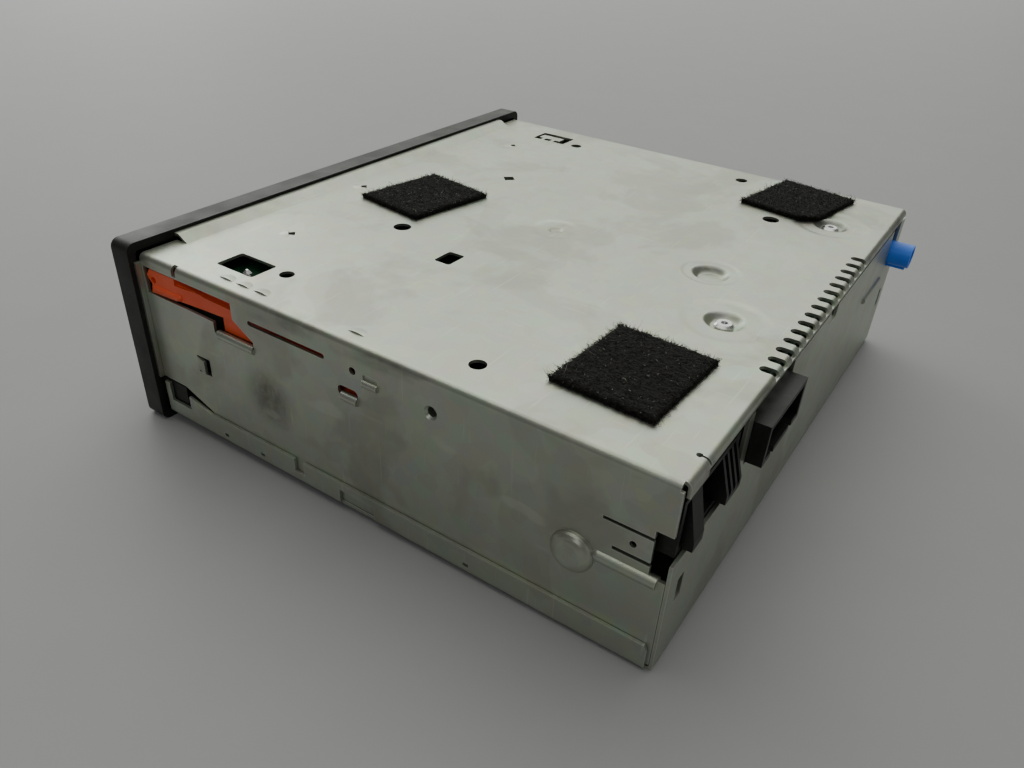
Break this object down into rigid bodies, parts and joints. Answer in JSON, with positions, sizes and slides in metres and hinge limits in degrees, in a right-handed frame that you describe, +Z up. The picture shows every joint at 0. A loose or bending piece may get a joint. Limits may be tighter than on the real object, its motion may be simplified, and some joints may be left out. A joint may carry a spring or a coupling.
{
  "type": "car navigation head unit",
  "caption": "Single-height dashboard navigation unit: folded zinc-plated case with felt pads, black bezel with dials and keys, slot disc drive, side latch, rear sockets and blue aerial plug.",
  "frame": {"origin": "middle of the footprint, level with the lowest edge of the bezel", "axes": "+Y from the front panel to the rear sockets, +X to the side that carries the latch, +Z up as in the picture"},
  "size_m": [0.1834, 0.1822, 0.0556],
  "materials": {
    "zinc_sheet": "satin zinc plate with faint stains",
    "drive_steel": "plain cold-rolled steel",
    "black_panel": "satin moulded black",
    "display_glass": "tinted clear window",
    "display_body": "dark module frame",
    "green_board": "solder-masked glass-fibre board",
    "black_moulding": "black connector plastic",
    "gold_contact": "plated contact",
    "blue_plug": "blue moulded plastic",
    "sink_aluminium": "extruded aluminium",
    "rubber": "soft black rubber",
    "bright_steel": "bright zinc or ground steel",
    "lens_glass": "coated objective lens",
    "ivory_gear": "natural acetal",
    "orange_latch": "orange-red acetal",
    "black_felt": "fuzzy needle felt"
  },
  "bodies": {
    "case": {"top_cover": "zinc_sheet", "bottom_tray": "zinc_sheet", "front_frame": "zinc_sheet", "left_rail": "zinc_sheet", "right_rail": "zinc_sheet", "drive_pan": "drive_steel", "drive_deck": "drive_steel", "traverse_plate": "drive_steel", "spindle_motor": "drive_steel", "sled_motor": "drive_steel", "loading_motor": "drive_steel", "encoders": "drive_steel", "key_switches": "drive_steel", "shield_cans": "drive_steel", "front_bezel": "black_panel", "display_lens": "display_glass", "display_module": "display_body", "front_board": "green_board", "main_board": "green_board", "main_socket": "black_moulding", "corner_socket": "black_moulding", "board_chips": "black_moulding", "amplifier": "black_moulding", "disc_guide": "black_moulding", "capacitors": "black_moulding", "socket_pins": "gold_contact", "aerial_contact": "gold_contact", "aerial_plug": "blue_plug", "heat_sink": "sink_aluminium", "dampers": "rubber", "guide_rod": "bright_steel", "board_screws": "bright_steel", "cover_screws": "bright_steel", "chassis_screws": "bright_steel", "felt_pad_front": "black_felt", "felt_pad_left": "black_felt", "felt_pad_right": "black_felt"},
    "left_dial": {"left_dial": "black_panel", "left_shaft": "bright_steel"},
    "right_dial": {"right_dial": "black_panel", "right_shaft": "bright_steel"},
    "roller": {"loading_roller": "rubber", "roller_shaft": "bright_steel", "roller_gear": "ivory_gear"},
    "idler": {"idler_gear": "ivory_gear"},
    "pinion": {"loading_pinion": "ivory_gear"},
    "spindle": {"turntable": "black_moulding"},
    "clamp": {"disc_clamp": "black_moulding"},
    "screw": {"lead_screw": "bright_steel"},
    "sled": {"pickup_sled": "black_moulding", "pickup_lens": "lens_glass"},
    "latch": {"latch_slider": "orange_latch"},
    "key_1": {"key_1": "black_panel"},
    "key_2": {"key_2": "black_panel"},
    "key_3": {"key_3": "black_panel"},
    "key_4": {"key_4": "black_panel"},
    "key_5": {"key_5": "black_panel"},
    "key_6": {"key_6": "black_panel"},
    "key_source": {"key_source": "black_panel"},
    "key_eject": {"key_eject": "black_panel"}
  },
  "joints": [
    {"name": "left_dial_turn", "type": "hinge", "parent": "case", "child": "left_dial", "pos_m": [-0.072, -0.0825, 0.0218], "axis": [0, -1, 0], "continuous": true},
    {"name": "right_dial_turn", "type": "hinge", "parent": "case", "child": "right_dial", "pos_m": [0.072, -0.0825, 0.0218], "axis": [0, -1, 0], "continuous": true},
    {"name": "key_1_press", "type": "slide", "parent": "case", "child": "key_1", "axis": [0, 1, 0], "range_m": [0, 0.0006], "stiffness_N_per_m": 1500},
    {"name": "key_2_press", "type": "slide", "parent": "case", "child": "key_2", "axis": [0, 1, 0], "range_m": [0, 0.0006], "stiffness_N_per_m": 1500},
    {"name": "key_3_press", "type": "slide", "parent": "case", "child": "key_3", "axis": [0, 1, 0], "range_m": [0, 0.0006], "stiffness_N_per_m": 1500},
    {"name": "key_4_press", "type": "slide", "parent": "case", "child": "key_4", "axis": [0, 1, 0], "range_m": [0, 0.0006], "stiffness_N_per_m": 1500},
    {"name": "key_5_press", "type": "slide", "parent": "case", "child": "key_5", "axis": [0, 1, 0], "range_m": [0, 0.0006], "stiffness_N_per_m": 1500},
    {"name": "key_6_press", "type": "slide", "parent": "case", "child": "key_6", "axis": [0, 1, 0], "range_m": [0, 0.0006], "stiffness_N_per_m": 1500},
    {"name": "key_source_press", "type": "slide", "parent": "case", "child": "key_source", "axis": [0, 1, 0], "range_m": [0, 0.0006], "stiffness_N_per_m": 1500},
    {"name": "key_eject_press", "type": "slide", "parent": "case", "child": "key_eject", "axis": [0, 1, 0], "range_m": [0, 0.0006], "stiffness_N_per_m": 1500},
    {"name": "roller_spin", "type": "hinge", "parent": "case", "child": "roller", "pos_m": [0, -0.0605, 0.033], "axis": [1, 0, 0], "continuous": true},
    {"name": "idler_spin", "type": "hinge", "parent": "case", "child": "idler", "pos_m": [-0.064, -0.05099, 0.02473], "axis": [1, 0, 0], "continuous": true},
    {"name": "pinion_spin", "type": "hinge", "parent": "case", "child": "pinion", "pos_m": [-0.064, -0.04098, 0.02069], "axis": [1, 0, 0], "continuous": true},
    {"name": "spindle_spin", "type": "hinge", "parent": "case", "child": "spindle", "pos_m": [0, 0.0035, 0.0328], "axis": [0, 0, 1], "continuous": true},
    {"name": "clamp_spin", "type": "hinge", "parent": "case", "child": "clamp", "pos_m": [0, 0.0035, 0.0428], "axis": [0, 0, 1], "continuous": true},
    {"name": "lead_screw_turn", "type": "hinge", "parent": "case", "child": "screw", "pos_m": [-0.03, 0.0215, 0.0269], "axis": [1, 0, 0], "range_deg": [0, 3720]},
    {"name": "sled_slide", "type": "slide", "parent": "case", "child": "sled", "axis": [-1, 0, 0], "range_m": [0, 0.031]},
    {"name": "latch_slide", "type": "slide", "parent": "case", "child": "latch", "axis": [0, 1, 0], "range_m": [0, 0.006]}
  ],
  "couplings": [
    {"joint": "idler_spin", "follows": "roller_spin", "ratio": -0.75},
    {"joint": "pinion_spin", "follows": "roller_spin", "ratio": 1.5},
    {"joint": "lead_screw_turn", "follows": "sled_slide", "rad_per_m": 2094.4}
  ]
}
